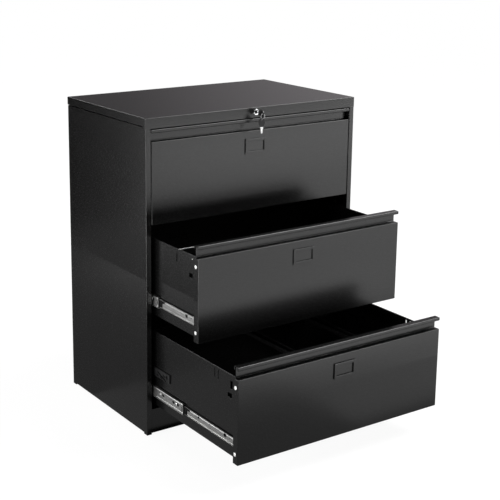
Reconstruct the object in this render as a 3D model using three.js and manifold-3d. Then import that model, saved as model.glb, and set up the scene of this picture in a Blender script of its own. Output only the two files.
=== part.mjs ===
// Lateral filing cabinet: three drawers on telescopic runners in a folded sheet casing.
// Millimetres, +Z up. The drawers open towards -Y, and the middle and lower ones stand open.
// The origin is on the floor, under the middle of the part as it is posed.
import * as THREE from 'three'
import { mergeVertices } from 'three/addons/utils/BufferGeometryUtils.js'
import Module from 'manifold-3d'

const wasm = await Module()
wasm.setup()

// Casing
const width = 800
const depth = 500
const height = 1000
const sheet = 1
const topSheet = 1.2
const topOverhang = 1
const frontSkirt = 34
const frontSkirtReturn = 18
const sideSkirt = 28
const seam = 1.2
const stile = 17.5
const stileReturn = 22
const rearFlange = 20
const plinthTop = 84
const plinthReturn = 15

// Feet, pushed into the folded corners
const footHeight = 5
const footLength = 20
const footPlug = 14

// Uprights that carry the runners
const uprightSheet = 1.2
const uprightProud = 1
const frontUprightSetback = 34
const frontUprightWidth = 24
const rearUprightSetback = 34
const rearUprightWidth = 36
const uprightDrop = 34

// Drawer fronts and pulls
const frontGap = 2
const sideGap = 1.5
const frontDepth = 23
const frontTopReturn = 20
const fingerGap = 26.5
const lipHeight = 10.5
const lipThickness = 4.5
const lipRadius = 2
const pullSheet = 1.4
const pullTail = 18
const earLow = 15
const earReach = 18
const earSheet = 0.8
const earClearance = 1.3

// Trays
const trayRise = 9
const trayTopDrop = 4.5
const trayRearClearance = 26
const hem = 3
const slitWidth = 2.4
const slitHeight = 25
const slitDrop = 9
const frontSlitSetback = 111
const rearSlitSetback = 130
const squareHole = 16
const squareHoleSetback = 54
const squareHoleDrop = 64
const sideSlotSetback = 46
const sideSlotDrop = 29

// Runners
const runnerThickness = 12.7
const runnerSheet = 1.2
const runnerRise = 52.5
const runnerStart = 4
const runnerRearClearance = 23
const outerMemberHeight = 45.2
const outerMemberFlange = 8.2
const middleMemberHeight = 36.6
const middleMemberFlange = 7.2
const middleMemberOffset = 3.7
const innerMemberHeight = 28.2
const innerMemberFlange = 4.7
const ballCageLength = 150
const ballCageWidth = 2

// Label holders
const labelWidth = 80
const labelHeight = 47.5
const labelBorder = 6.5
const labelSheet = 1.2
const labelDrop = 24.5

// File rails across the upper and middle drawers, file bars along the lower one
const railThickness = 3
const railHeight = 18
const railProud = 3.5
const railHook = 1
const barWidth = 24
const barDepth = 12.5
const barProud = 2
const barSheet = 1.2
const barOffset = 116

// Interlock between the drawers, and the lock
const camInset = 6
const camLength = 86
const camRise = 95
const camHeight = 34
const camThickness = 8
const camPocket = 5
const camRim = 6
const camRib = 12
const barThickness = 5
const barLift = 12
const barFootRise = 12
const pinRadius = 3.5
const pinClearance = 0.5
const lockDrop = 15
const bezelRadius = 10.5
const bezelProud = 3
const bezelChamfer = 1
const barrelRadius = 9.2
const barrelLength = 24
const nutRadius = 12
const nutThickness = 5
const plugRadius = 6
const keywayWidth = 2.6
const keywayHeight = 8
const keywayDepth = 18
const crankLength = 9
const crankWidth = 9
const crankThickness = 2
const crankPinRadius = 2
const crankPinLength = 4.7
const crankPinPlay = 2.6
const linkSheet = 2
const linkArm = 12
const linkTab = 14
const linkStop = 2.5

// Key in the lock and its ring
const keyHeadLength = 28
const keyHeadHeight = 21
const keyHeadThickness = 3.6
const keyNeck = 10
const keyHoleRadius = 2.5
const keyHoleInset = 4.5
const ringRadius = 8.8
const ringWire = 0.8

// Pose of the drawers, counted from closed
const middleDrawerOut = 254
const middleRunnersOut = 67
const lowerDrawerOut = 456
const lowerRunnersOut = 206

// Clearances between pieces that seat on or run in each other
const seat = 0.3
const play = 0.5

// Places worked out from the sizes above
const sideFace = width / 2 - topOverhang
const openHalf = sideFace - stile
const frontHalf = openHalf - sideGap
const uprightFace = openHalf - uprightProud
const tongueFace = width / 2 - topSheet - seat
const uprightWeb = tongueFace - sheet - seat
const interlockBack = uprightWeb - uprightSheet - seat
const runnerFace = uprightFace - seat
const trayHalf = runnerFace - runnerThickness
const backFace = depth - sheet
const rearFold = backFace - seat
const openTop = height - frontSkirt
const sideTop = height - sideSkirt - seam
const plinthBottom = footHeight + seat
const drawerNames = ['lower', 'middle', 'upper']
const drawerPitch = (openTop - plinthTop) / drawerNames.length
const pullHeight = fingerGap + lipHeight
const frontHeight = drawerPitch - 2 * frontGap - pullHeight
const earHigh = frontHeight - pullTail - play
const trayFront = frontDepth + seat
const trayRear = depth - trayRearClearance
const trayTop = frontHeight - trayTopDrop
const runnerFront = frontDepth + runnerStart
const runnerRear = depth - runnerRearClearance
const middleMemberFace = runnerFace - middleMemberOffset
const uprightBottom = plinthTop + seat
const uprightTop = height - uprightDrop
const rearUprightRear = depth - rearUprightSetback
const rearUprightFront = rearUprightRear - rearUprightWidth
const lockHeight = height - lockDrop
const linkHeight = uprightTop + seat
const crankFront = barrelLength + 2 + seat
const crankBack = crankFront + crankThickness
const linkFront = crankBack + 2 * play
const interlockFace = trayHalf + seat + camThickness
const keyHeadFront = -keyNeck - keyHeadLength - bezelProud
const keyHole = keyHeadFront + keyHoleInset
const ringHang = keyHoleRadius - ringWire - play
const poseMiddle = (depth - lowerDrawerOut - labelSheet - seat) / 2

// Finishes
function finish(color, roughness, metalness) {
  return new THREE.MeshStandardMaterial({ color, roughness, metalness })
}

const casingPaint = finish('#3a393a', 0.45, 0.2)
const drawerPaint = finish('#343435', 0.45, 0.2)
const zinc = finish('#a9aaa8', 0.35, 0.9)
const chrome = finish('#d5d6d8', 0.12, 1)
const blackPlastic = finish('#18181a', 0.5, 0)

// Solids
const axes = [new THREE.Vector3(1, 0, 0), new THREE.Vector3(0, 1, 0), new THREE.Vector3(0, 0, 1)]
const turns = {
  x: new THREE.Matrix4().makeBasis(axes[1], axes[2], axes[0]),
  y: new THREE.Matrix4().makeBasis(axes[2], axes[0], axes[1]),
  z: new THREE.Matrix4(),
}

// A closed outline pushed along an axis: its points are (y, z) for x, (z, x) for y and (x, y) for z.
function prism(outline, axis, from, to) {
  const points = outline.map(([u, v]) => new THREE.Vector2(u, v))
  const shape = new THREE.Shape(points)
  const geometry = new THREE.ExtrudeGeometry(shape, { depth: to - from, bevelEnabled: false })
  return geometry.translate(0, 0, from).applyMatrix4(turns[axis])
}

// A box between two opposite corners.
function block(a, b) {
  const span = new THREE.Box3().setFromPoints([new THREE.Vector3(...a), new THREE.Vector3(...b)])
  const size = span.getSize(new THREE.Vector3())
  const middle = span.getCenter(new THREE.Vector3())
  return new THREE.BoxGeometry(...size).translate(...middle)
}

// A round bar along Y.
function rod(radius, from, to, x = 0, z = 0) {
  const geometry = new THREE.CylinderGeometry(radius, radius, to - from, 28)
  return geometry.translate(x, (from + to) / 2, z)
}

// The outline of a folded sheet: a path along one face, given its thickness to the path's left.
function folded(path, thickness) {
  const points = path.map(([u, v]) => new THREE.Vector2(u, v))
  const sides = points.slice(1).map((point, i) => {
    const along = point.clone().sub(points[i]).normalize()
    return new THREE.Vector2(-along.y, along.x)
  })
  const inner = points.map((point, i) => {
    const before = sides[Math.max(i - 1, 0)]
    const after = sides[Math.min(i, sides.length - 1)]
    const reach = thickness / (1 + before.dot(after))
    return point.clone().addScaledVector(before, reach).addScaledVector(after, reach)
  })
  return [...points, ...inner.reverse()].map((point) => [point.x, point.y])
}

// Points of an arc between two angles in degrees.
function arc(u, v, radius, from, to, steps = 4) {
  return Array.from({ length: steps + 1 }, (_, i) => {
    const angle = THREE.MathUtils.degToRad(from + ((to - from) * i) / steps)
    return [u + radius * Math.cos(angle), v + radius * Math.sin(angle)]
  })
}

function solidOf(geometry) {
  geometry.deleteAttribute('normal')
  geometry.deleteAttribute('uv')
  const merged = mergeVertices(geometry)
  const vertProperties = new Float32Array(merged.attributes.position.array)
  const triVerts = new Uint32Array(merged.index.array)
  return new wasm.Manifold(new wasm.Mesh({ numProp: 3, vertProperties, triVerts }))
}

function geometryOf(solid) {
  const mesh = solid.getMesh()
  const geometry = new THREE.BufferGeometry()
  geometry.setAttribute('position', new THREE.BufferAttribute(mesh.vertProperties, 3))
  geometry.setIndex(new THREE.BufferAttribute(mesh.triVerts, 1))
  geometry.computeVertexNormals()
  return geometry
}

// Joins geometries into one solid and cuts others out of it.
function build(added, cut = []) {
  const whole = added.map(solidOf).reduce((sum, next) => sum.add(next))
  return geometryOf(cut.map(solidOf).reduce((rest, next) => rest.subtract(next), whole))
}

function piece(name, geometry, material) {
  const mesh = new THREE.Mesh(geometry, material)
  mesh.name = name
  return mesh
}

const sides = [
  { side: 'left', s: -1 },
  { side: 'right', s: 1 },
]

// Top panel: a cap with a front skirt for the lock and lower side and rear skirts
function topPanel() {
  const half = width / 2
  const inner = half - topSheet
  const body = block([-half, 0, openTop], [half, depth, height])
  const hollow = block([-inner, topSheet, openTop + topSheet], [inner, depth - topSheet, height - topSheet])
  const under = block([-width, frontSkirtReturn, 0], [width, 2 * depth, height - sideSkirt])
  const lockHole = rod(barrelRadius + seat, -topSheet, 2 * topSheet, 0, lockHeight)
  return piece('top_panel', build([body], [hollow, under, lockHole]), casingPaint)
}

// Side panel: folded round the front as a stile, with a tongue inside the top panel's skirt
function sidePanel({ side, s }) {
  const path = [
    [s * openHalf, stileReturn],
    [s * openHalf, 0],
    [s * sideFace, 0],
    [s * sideFace, rearFold],
    [s * (sideFace - rearFlange), rearFold],
  ]
  const tongueFront = frontSkirtReturn + topSheet
  const tongueRear = rearFold - 2 * sheet
  const tongueTop = height - topSheet - seat
  const parts = [
    prism(folded(path, s * sheet), 'z', footHeight, sideTop),
    block(
      [s * (sideFace - sheet / 2), tongueFront + sheet, sideTop - 3 * sheet],
      [s * (tongueFace - sheet / 2), tongueRear - sheet, sideTop - sheet],
    ),
    block(
      [s * tongueFace, tongueFront, sideTop - 4 * sheet],
      [s * (tongueFace - sheet), tongueRear, tongueTop],
    ),
  ]
  const corner = block(
    [s * (openHalf - sheet), -sheet, openTop - seat],
    [s * width, frontSkirtReturn + seat, height],
  )
  return piece(`side_panel_${side}`, build(parts, [corner]), casingPaint)
}

function backPanel() {
  const half = sideFace - sheet
  const geometry = block([-half, backFace, plinthBottom], [half, depth, sideTop])
  return piece('back_panel', geometry, casingPaint)
}

// Base pan: the plinth in front, the casing's floor and a rear wall
function basePan() {
  const half = openHalf - play
  const rear = rearFold - sheet - seat
  const path = [
    [plinthReturn, plinthBottom],
    [0, plinthBottom],
    [0, plinthTop],
    [rear, plinthTop],
    [rear, plinthBottom],
  ]
  return piece('base_pan', prism(folded(path, -sheet), 'x', -half, half), casingPaint)
}

function foot({ side, s }, end) {
  const outer = sideFace
  const inner = openHalf + play
  const front = end === 'front' ? play : rearFold - footLength
  const plugOuter = sideFace - sheet - play
  const plugInner = openHalf + sheet + play
  const plugFront = end === 'front' ? sheet + play : rearFold - sheet - play - footPlug
  const parts = [
    block([s * outer, front, 0], [s * inner, front + footLength, footHeight - seat]),
    block([s * plugOuter, plugFront, sheet], [s * plugInner, plugFront + footPlug, footHeight + footPlug]),
  ]
  return piece(`foot_${end}_${side}`, build(parts), blackPlastic)
}

function upright({ side, s }, end) {
  const front = end === 'front' ? frontUprightSetback : rearUprightFront
  const rear = front + (end === 'front' ? frontUprightWidth : rearUprightWidth)
  const path = [
    [s * uprightFace, front],
    [s * uprightWeb, front],
    [s * uprightWeb, rear],
    [s * uprightFace, rear],
  ]
  const geometry = prism(folded(path, s * uprightSheet), 'z', uprightBottom, uprightTop)
  return piece(`upright_${end}_${side}`, geometry, casingPaint)
}

// A runner member: a channel along Y whose web stands at face, with flanges of the given reach
function channel(s, face, memberHeight, flange, webOutside) {
  const half = memberHeight / 2
  const tip = webOutside ? face - flange : face + flange
  const path = [
    [-half, s * tip],
    [-half, s * face],
    [half, s * face],
    [half, s * tip],
  ]
  const outline = folded(path, (webOutside ? -s : s) * runnerSheet)
  return prism(outline, 'y', runnerFront, runnerRear)
}

function runnerOuter(name, { side, s }) {
  const geometry = channel(s, runnerFace, outerMemberHeight, outerMemberFlange, true)
  return piece(`${name}_runner_outer_${side}`, geometry, zinc)
}

// Middle member, with the strips of balls that run in the outer and on the inner member
function runnerMiddle(name, { side, s }) {
  const outerRace = outerMemberHeight / 2 - runnerSheet - seat
  const innerRace = innerMemberHeight / 2 + seat
  const outerBalls = middleMemberFace - 2 * runnerSheet
  const innerBalls = trayHalf + seat + innerMemberFlange - runnerSheet / 2
  const flangeMiddle = (middleMemberHeight - runnerSheet) / 2
  const frontEnd = runnerFront + runnerSheet
  const rearEnd = runnerRear - runnerSheet
  const strips = [-1, 1].flatMap((up) => [
    block(
      [s * outerBalls, rearEnd - ballCageLength, up * flangeMiddle],
      [s * (outerBalls - ballCageWidth), rearEnd, up * outerRace],
    ),
    block(
      [s * innerBalls, frontEnd, up * innerRace],
      [s * (innerBalls - ballCageWidth), frontEnd + ballCageLength, up * flangeMiddle],
    ),
  ])
  const member = channel(s, middleMemberFace, middleMemberHeight, middleMemberFlange, true)
  return piece(`${name}_runner_middle_${side}`, build([member, ...strips]), zinc)
}

function runnerInner(name, { side, s }) {
  const geometry = channel(s, trayHalf + seat, innerMemberHeight, innerMemberFlange, false)
  const mesh = piece(`${name}_runner_inner_${side}`, geometry, zinc)
  mesh.position.z = runnerRise
  return mesh
}

// Drawer front: a shallow pan, open at the back
function drawerFront(name) {
  const body = block([-frontHalf, 0, 0], [frontHalf, frontDepth, frontHeight])
  const inner = frontHalf - sheet
  const hollow = block([-inner, sheet, sheet], [inner, 2 * frontDepth, frontHeight - sheet])
  const behindReturn = block(
    [-inner, frontTopReturn, frontHeight - 2 * sheet],
    [inner, 2 * frontDepth, 2 * frontHeight],
  )
  return piece(`${name}_front`, build([body], [hollow, behindReturn]), drawerPaint)
}

// Pull: a rounded lip in front of a web that stands behind the front's top return
function pull(name) {
  const top = frontHeight + pullHeight
  const lipBottom = frontHeight + fingerGap
  const tailBottom = frontHeight - pullTail
  const web = frontTopReturn + seat
  const outline = [
    ...arc(lipRadius, top - lipRadius, lipRadius, 180, 90),
    [web + pullSheet, top],
    [web + pullSheet, tailBottom],
    [web, tailBottom],
    [web, top - pullSheet],
    [lipThickness, top - pullSheet],
    ...arc(lipThickness - lipRadius, lipBottom + lipRadius, lipRadius, 0, -90),
    ...arc(lipRadius, lipBottom + lipRadius, lipRadius, -90, -180),
  ]
  const tailHalf = frontHalf - sheet - seat
  const besideTail = sides.map(({ s }) =>
    block([s * tailHalf, 0, tailBottom - pullSheet], [s * width, 2 * web, frontHeight + seat]),
  )
  return piece(`${name}_pull`, build([prism(outline, 'x', -frontHalf, frontHalf)], besideTail), drawerPaint)
}

function labelHolder(name) {
  const half = labelWidth / 2
  const top = frontHeight - labelDrop
  const frame = block([-half, -seat - labelSheet, top - labelHeight], [half, -seat, top])
  const window = block(
    [labelBorder - half, -1 - labelSheet, top - labelHeight + labelBorder],
    [half - labelBorder, 0, top - labelBorder],
  )
  return piece(`${name}_label_holder`, build([frame], [window]), drawerPaint)
}

// Tray: floor and four walls with hemmed tops, ears inside the front's flanges, holes in the sides
function tray(name) {
  const floor = trayRise + sheet
  const hemBottom = trayTop - hem
  const earInner = frontHalf - earClearance - earSheet
  const earRear = trayFront + (sheet - earSheet) / 2
  const body = block([-trayHalf, trayFront, trayRise], [trayHalf, trayRear, trayTop])
  const hollow = block(
    [sheet - trayHalf, trayFront + sheet, floor],
    [trayHalf - sheet, trayRear - sheet, hemBottom],
  )
  const mouth = block(
    [hem - trayHalf, trayFront + hem, hemBottom - sheet],
    [trayHalf - hem, trayRear - hem, 2 * trayTop],
  )
  const ears = sides.map(({ s }) => {
    const path = [
      [s * (trayHalf - hem), earRear],
      [s * earInner, earRear],
      [s * earInner, earRear - earReach],
    ]
    return prism(folded(path, s * earSheet), 'z', earLow, earHigh)
  })
  const openings = [
    [frontSlitSetback, slitDrop, slitWidth, slitHeight],
    [rearSlitSetback, slitDrop, slitWidth, slitHeight],
    [sideSlotSetback, sideSlotDrop, slitWidth, slitHeight],
    [squareHoleSetback, squareHoleDrop, squareHole, squareHole],
  ]
  const holes = sides.flatMap(({ s }) =>
    openings.map(([setback, drop, along, tall]) =>
      block(
        [s * (trayHalf + sheet), setback - along / 2, trayTop - drop - tall],
        [s * (trayHalf - hem), setback + along / 2, trayTop - drop],
      ),
    ),
  )
  return piece(`${name}_tray`, build([body, ...ears], [hollow, mouth, ...holes]), drawerPaint)
}

// File rail: a bar on edge across the tray, hooked over the tops of its sides
function fileRail(name) {
  const middle = (frontSlitSetback + rearSlitSetback) / 2
  const top = trayTop + railProud
  const half = railThickness / 2
  const inner = trayHalf - hem - seat
  const end = trayHalf + railHook
  const bar = block([-end, middle - half, top - railHeight], [end, middle + half, top])
  const underHooks = sides.map(({ s }) =>
    block([s * inner, 0, 0], [s * width, middle + railThickness, trayTop + seat]),
  )
  return piece(`${name}_file_rail`, build([bar], underHooks), zinc)
}

// File bar: a channel along the tray, hooked over the tops of its ends
function fileBar(name, { side, s }) {
  const half = barWidth / 2
  const top = trayTop + barProud
  const middle = s * barOffset
  const low = top - barDepth
  const path = [
    [top, middle - half],
    [low, middle - half],
    [low, middle + half],
    [top, middle + half],
  ]
  const channelBar = prism(folded(path, barSheet), 'y', trayFront, trayRear)
  const underHooks = [
    block([middle - barWidth, 0, 0], [middle + barWidth, trayFront + hem + seat, trayTop + seat]),
    block([middle - barWidth, trayRear - hem - seat, 0], [middle + barWidth, depth, trayTop + seat]),
  ]
  return piece(`${name}_file_bar_${side}`, build([channelBar], underHooks), drawerPaint)
}

// Interlock cam: a block on the tray's left side, with two pockets beside a slanting rib
function interlockCam(name) {
  const face = -trayHalf - seat
  const rear = trayRear - camInset
  const front = rear - camLength
  const low = camRise
  const high = camRise + camHeight
  const outer = face - camThickness
  const pocket = outer + camPocket
  const upper = [
    [front + camRim, high - camRim],
    [front + camRim, low + camRim + camRib],
    [rear - camRim - 2 * camRib, high - camRim],
  ]
  const lower = [
    [rear + camRim, low + camRim],
    [rear + camRim, high - camRib],
    [rear, high - camRib],
    [front + camRim + 2 * camRib, low + camRim],
  ]
  const body = block([face, front, low], [outer, rear, high])
  const pockets = [upper, lower].map((outline) => prism(outline, 'x', outer - sheet, pocket))
  return piece(`${name}_interlock_cam`, build([body], pockets), blackPlastic)
}

// Interlock bar: slides up and down in the rear left upright, with a pin beside each cam
function interlockBar() {
  const front = rearUprightFront + uprightSheet + seat
  const rear = rearUprightRear - uprightSheet - seat
  const pinMiddle = (front + rear) / 2
  const bar = block(
    [-interlockBack, front, uprightBottom + barFootRise],
    [barThickness - interlockBack, rear, uprightTop - barLift],
  )
  const pins = drawerNames.map((_, level) => {
    const pinHeight = plinthTop + frontGap + level * drawerPitch + camRise + camHeight / 2
    const outline = arc(pinMiddle, pinHeight, pinRadius, 0, 345, 23)
    return prism(outline, 'x', barThickness / 2 - interlockBack, -interlockFace - pinClearance)
  })
  return piece('interlock_bar', build([bar, ...pins]), zinc)
}

// Lock: housing through the front skirt, nut behind it, plug with a keyway, crank on the plug's tail
function lockHousing() {
  const bore = plugRadius + seat
  const profile = [
    [bore, -bezelProud],
    [bore, barrelLength],
    [barrelRadius, barrelLength],
    [barrelRadius, -seat],
    [bezelRadius, -seat],
    [bezelRadius, bezelChamfer - bezelProud],
    [bezelRadius - bezelChamfer, -bezelProud],
    [bore, -bezelProud],
  ]
  const points = profile.map(([radius, y]) => new THREE.Vector2(radius, y))
  const mesh = piece('lock_housing', new THREE.LatheGeometry(points.reverse(), 28), chrome)
  mesh.position.z = lockHeight
  return mesh
}

function lockNut() {
  const front = topSheet + seat
  const outline = arc(0, lockHeight, nutRadius, 0, 300, 5)
  const turned = outline.map(([x, z]) => [z, x])
  const nut = prism(turned, 'y', front, front + nutThickness)
  const bore = rod(barrelRadius + seat, front - sheet, front + nutThickness + sheet, 0, lockHeight)
  return piece('lock_nut', build([nut], [bore]), zinc)
}

function lockPlug() {
  const front = -bezelProud + play
  const half = keywayWidth / 2
  const body = rod(plugRadius, front, barrelLength + 2)
  const keyway = block([-half, front - sheet, -keywayHeight / 2], [half, keywayDepth, keywayHeight / 2])
  return piece('lock_plug', build([body], [keyway]), chrome)
}

function lockCrank() {
  const half = crankWidth / 2
  const lever = [
    ...arc(0, 0, half, 0, 180, 8),
    ...arc(0, -crankLength, half, 180, 360, 8),
  ]
  const turned = lever.map(([x, z]) => [z, x])
  const parts = [
    prism(turned, 'y', crankFront, crankBack),
    rod(crankPinRadius, crankFront + crankThickness / 2, crankBack + crankPinLength, 0, -crankLength),
  ]
  return piece('lock_crank', build(parts), zinc)
}

function key() {
  const halfThick = keyHeadThickness / 2
  const bladeHalf = keywayWidth / 2 - seat
  const bladeTall = keywayHeight / 2 - seat
  const head = new THREE.EllipseCurve(
    keyHeadFront + keyHeadLength / 2,
    0,
    keyHeadLength / 2,
    keyHeadHeight / 2,
    0,
    2 * Math.PI,
  )
  const outline = head.getPoints(28).slice(0, -1).map((point) => [point.x, point.y])
  const hole = arc(keyHole, 0, keyHoleRadius, 0, 345, 23)
  const neckFront = keyHeadFront + keyHeadLength - keyHoleInset
  const parts = [
    prism(outline, 'x', -halfThick, halfThick),
    block([-bladeHalf, neckFront, -bladeTall], [bladeHalf, keywayDepth - seat, bladeTall]),
  ]
  return piece('key', build(parts, [prism(hole, 'x', -keyHeadThickness, keyHeadThickness)]), blackPlastic)
}

function keyRing() {
  const geometry = new THREE.TorusGeometry(ringRadius, ringWire, 8, 32)
  const mesh = piece('key_ring', geometry, chrome)
  mesh.rotation.x = Math.PI / 2
  mesh.position.set(0, keyHole, -ringHang - ringRadius)
  return mesh
}

// Link from the crank to the interlock: an angle behind the front skirt and an arm along the left side
function lockLink() {
  const armOuter = interlockBack - barThickness - linkStop
  const armInner = armOuter - linkArm
  const armRear = rearUprightRear - sheet
  const armFront = linkFront + linkArm
  const outline = [
    [-armOuter, linkFront - play],
    [linkTab + sheet, linkFront - play],
    [linkTab + sheet, armFront],
    [-armInner, armFront],
    [-armInner, armRear],
    [-armOuter, armRear],
  ]
  const slotHalf = crankPinRadius + crankPinPlay
  const parts = [
    prism(outline, 'z', linkHeight, linkHeight + linkSheet),
    block(
      [-linkTab, linkFront, linkHeight + linkSheet / 2],
      [linkTab, linkFront + linkSheet, lockHeight + slotHalf + linkSheet],
    ),
  ]
  const slot = block(
    [-slotHalf, linkFront - sheet, lockHeight - crankLength - slotHalf],
    [slotHalf, linkFront + 2 * linkSheet, lockHeight + slotHalf],
  )
  return piece('lock_link', build(parts, [slot]), zinc)
}

// Assembly
function moved(children, x, y, z) {
  const group = new THREE.Group()
  group.add(...children)
  group.position.set(x, y, z)
  return group
}

function drawer(name, out) {
  const pieces = [
    tray(name),
    drawerFront(name),
    pull(name),
    labelHolder(name),
    interlockCam(name),
    ...sides.map((which) => runnerInner(name, which)),
  ]
  if (name === 'lower') {
    pieces.push(...sides.map((which) => fileBar(name, which)))
  } else {
    pieces.push(fileRail(name))
  }
  return moved(pieces, 0, -out, 0)
}

function drawerLevel(name, level) {
  const drawerOut = { lower: lowerDrawerOut, middle: middleDrawerOut, upper: 0 }[name]
  const runnersOut = { lower: lowerRunnersOut, middle: middleRunnersOut, upper: 0 }[name]
  const outer = sides.map((which) => runnerOuter(name, which))
  const middle = sides.map((which) => runnerMiddle(name, which))
  const floor = plinthTop + frontGap + level * drawerPitch
  return moved(
    [drawer(name, drawerOut), moved(outer, 0, 0, runnerRise), moved(middle, 0, -runnersOut, runnerRise)],
    0,
    0,
    floor,
  )
}

const casing = [
  topPanel(),
  ...sides.map(sidePanel),
  backPanel(),
  basePan(),
  ...sides.flatMap((which) => ['front', 'rear'].map((end) => foot(which, end))),
  ...sides.flatMap((which) => ['front', 'rear'].map((end) => upright(which, end))),
]
const lock = [
  lockHousing(),
  lockNut(),
  moved([lockPlug(), lockCrank(), key(), keyRing()], 0, 0, lockHeight),
  lockLink(),
  interlockBar(),
]
const levels = drawerNames.map(drawerLevel)

const cabinet = new THREE.Group()
cabinet.name = 'lateral_filing_cabinet'
cabinet.add(moved([...casing, ...lock, ...levels], 0, -poseMiddle, 0))

export default cabinet
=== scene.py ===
"""Looks of a three-drawer lateral filing cabinet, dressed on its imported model. Metres, +Z up."""
import math

import bmesh
import bpy
from mathutils import Matrix, Vector


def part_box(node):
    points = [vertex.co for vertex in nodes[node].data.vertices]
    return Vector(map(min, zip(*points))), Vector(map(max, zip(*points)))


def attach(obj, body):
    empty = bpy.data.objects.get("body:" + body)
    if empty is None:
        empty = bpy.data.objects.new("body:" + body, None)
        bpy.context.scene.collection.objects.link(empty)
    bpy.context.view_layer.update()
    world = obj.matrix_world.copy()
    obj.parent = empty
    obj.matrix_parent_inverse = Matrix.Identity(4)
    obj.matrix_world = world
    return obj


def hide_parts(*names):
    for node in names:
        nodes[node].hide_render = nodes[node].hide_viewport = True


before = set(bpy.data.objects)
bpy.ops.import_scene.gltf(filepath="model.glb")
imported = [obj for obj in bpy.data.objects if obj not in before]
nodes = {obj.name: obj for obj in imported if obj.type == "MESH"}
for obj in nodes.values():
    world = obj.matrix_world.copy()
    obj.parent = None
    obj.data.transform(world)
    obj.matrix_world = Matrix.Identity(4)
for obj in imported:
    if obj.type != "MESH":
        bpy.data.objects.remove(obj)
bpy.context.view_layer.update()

MM = 0.001
LEVELS = ("lower", "middle", "upper")
SIDES = (("left", -1), ("right", 1))


def mm(*lengths):
    """Millimetres as metres."""
    return tuple(length * MM for length in lengths)


# Sheet metal: FOLD is how wide a fold is rounded, SEAT the gap between pieces that lie on each other
SHEET = 1.0 * MM
TOP_SHEET = 1.2 * MM
FOLD = 1.3 * MM
SEAT = 0.3 * MM

# How wide other edges are rounded
RIM = 0.25 * MM
CAD_EDGE = 0.4 * MM
FINE_EDGE = 0.2 * MM
SMALL_EDGE = 0.3 * MM
BLUNT_EDGE = 0.5 * MM
FOOT_EDGE = 0.6 * MM
LABEL_EDGE = 0.7 * MM
BEZEL_EDGE = 0.25 * MM
KEY_HEAD_EDGE = 0.9 * MM
SPARE_HEAD_EDGE = 0.7 * MM

# Angles in degrees from which folds, the rims of sheets and other edges are rounded
FOLD_ANGLE = 30
RIM_ANGLE = 60
EDGE_ANGLE = 35

# How a solid's facets are joined into flat faces before its edges are rounded
WELD_REACH = 0.005 * MM
FLAT_ANGLE = math.radians(0.5)

# Casing
STILE = 17.5 * MM
STILE_RETURN = 22 * MM
STILE_OVERLAP = 0.8 * FOLD
REAR_FLANGE = 20 * MM
SIDE_SKIRT = 25.4 * MM
SIDE_SEAM = 3 * MM
SIDE_SEAM_DEPTH = 14 * MM
FRONT_SKIRT_RETURN = 18 * MM
FRONT_SKIRT_LIFT = 1 * MM

# Drawer fronts, pulls and label frames
FRONT_TRIM = 1 * MM
PULL_RECESS = 17 * MM
PULL_TAIL = 18 * MM
PULL_INSET = 4.5 * MM
PULL_BEAD = 0.8 * MM
PULL_SHEET = 1.4 * MM
LIP_HEIGHT = 10.5 * MM
LIP_THICKNESS = 6 * MM
LIP_ROUND = 2.1 * MM
LIP_FOOT_ROUND = 2.9 * MM
LABEL_BORDER = 8.2 * MM
LABEL_PROUD = 4 * MM

# Screws and rivets: a dome's points are shares of its radius and height
SCREW_SETBACK = 14.5 * MM
SCREW_HEIGHTS = mm(29, 227)
SCREW_RADIUS = 5.8 * MM
SCREW_PROUD = 0.7 * MM
SCREW_SUNK = 0.2 * MM
SCREW_DOME = ((0, 1), (0.55, 0.86), (0.9, 0.4))
RECESS_LENGTH = 0.8 * SCREW_RADIUS
RECESS_WIDTH = 0.16 * SCREW_RADIUS
RECESS_FLOOR = 0.6 * SCREW_PROUD
RIVET_RADIUS = 3.8 * MM
RIVET_PROUD = 0.8 * MM
RIVET_DOME = ((0, 1), (0.6, 0.8), (1, 0.1))

# Trays: a hole's middle is set back and raised from the front's foot, then follow its length and height
TRAY_TOP_DROP = 1.3 * MM
HEM = 3.5 * MM
EAR_REACH = 18 * MM
EAR_SHEET = 0.8 * MM
EAR_LOW = 15 * MM
EAR_HIGH = 234.5 * MM
SQUARE_HOLE = mm(57, 188, 20, 14)
FRONT_SLIT = mm(115, 229.5, 3.4, 29)
REAR_SLIT = mm(133, 229.5, 3.4, 29)
RAIL_SLOT = mm(133, 224, 6.5, 24)
FRONT_SLOT = mm(49.5, 221, 11, 24)
RAIL_RIVET = mm(49, 240)
RAIL_RIVET_RADIUS = 1.8 * MM
RAIL_TAB_PROUD = 0.8 * MM
RAIL_STRIP = 2.6 * MM
BAR_INSET = 1 * MM

# Interlock cams: the plate stands a little further forward and higher than the solid's
CAM_SHIFT = mm(-11, 14)
CAM_LENGTH = 90 * MM
CAM_HEIGHT = 27.5 * MM
CAM_THICKNESS = 3.5 * MM
CAM_GROOVE_SHADE_INSET = 0.5 * MM
# Grooves of a cam: start and end as (setback from its front end, height above its foot), and width
CAM_GROOVES = (
    (mm(11, -1), mm(68, 18.5), 6 * MM),
    (mm(38, 18), mm(23, 12), 5 * MM),
    (mm(14, 8), mm(14, 23), 7 * MM),
    (mm(54, 6.5), mm(41, 2.5), 4 * MM),
    (mm(70, 7.5), mm(61, 7.5), 5 * MM),
)

# Runner members: a band is half the height of the part of a web that is stepped inwards
RUNNER_LIFT = 5.5 * MM
RUNNER_SHEET = 1.2 * MM
RUNNER_ROUND = 2.4 * MM
OUTER_HEIGHT, MIDDLE_HEIGHT, INNER_HEIGHT = mm(45.2, 35.4, 25.2)
OUTER_BAND, MIDDLE_BAND, INNER_BAND = mm(12, 9, 6.5)
BAND_STEP = 0.9 * MM
WEB_DEPTH = RUNNER_SHEET + BAND_STEP + SEAT
MIDDLE_SHORT = 10 * MM
RIVET_RISE = 5.5 * MM
RIVET_PLACES = mm(48, 137, 390)

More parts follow.
